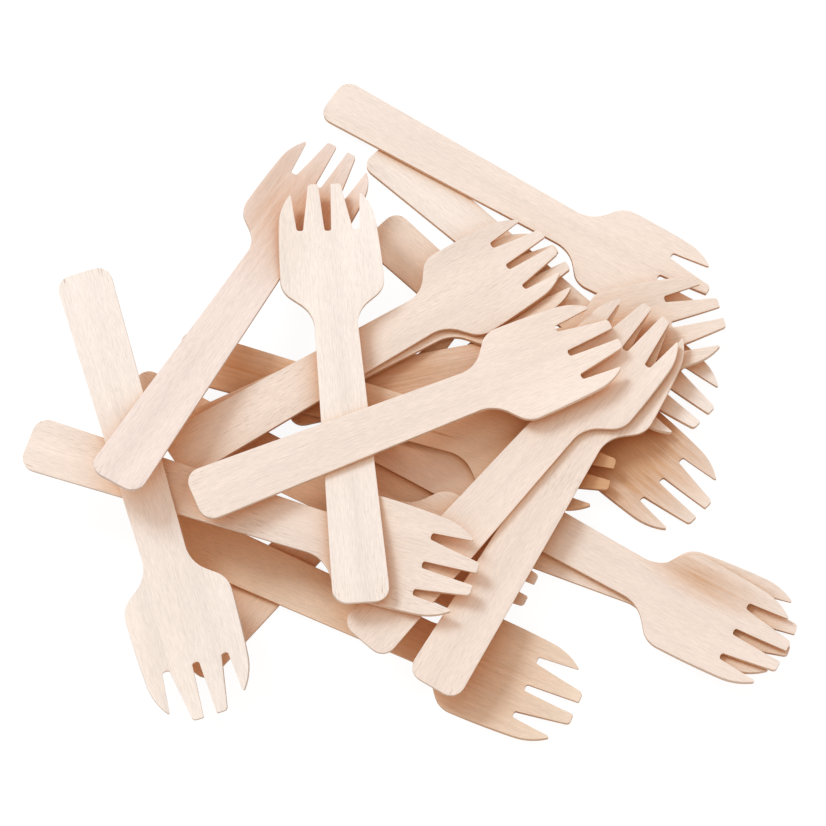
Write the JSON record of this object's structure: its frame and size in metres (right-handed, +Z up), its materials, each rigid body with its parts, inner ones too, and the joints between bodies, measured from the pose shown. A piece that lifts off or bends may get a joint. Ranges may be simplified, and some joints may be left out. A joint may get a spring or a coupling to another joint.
{
  "type": "wooden cutlery pack",
  "caption": "Pack of disposable pressed birch veneer forks tipped out in a loose heap, each flat in the handle with a shallow dished head and short tines.",
  "frame": {"origin": "the middle of the heap's footprint, on the table it lies on", "axes": "+Z is up, +X runs along the heap's longer side, and the picture looks towards +Y and steeply down"},
  "size_m": [0.2642, 0.2524, 0.0378],
  "materials": {
    "birch_veneer": "bare pressed veneer, matt, fine straight grain with short dark flecks"
  },
  "bodies": {
    "root": {"fork_01": "birch_veneer", "fork_02": "birch_veneer", "fork_03": "birch_veneer", "fork_04": "birch_veneer", "fork_05": "birch_veneer", "fork_06": "birch_veneer", "fork_07": "birch_veneer", "fork_08": "birch_veneer", "fork_09": "birch_veneer", "fork_10": "birch_veneer", "fork_11": "birch_veneer", "fork_12": "birch_veneer", "fork_13": "birch_veneer", "fork_14": "birch_veneer", "fork_15": "birch_veneer", "fork_16": "birch_veneer", "fork_17": "birch_veneer", "fork_18": "birch_veneer", "fork_19": "birch_veneer"}
  },
  "joints": []
}
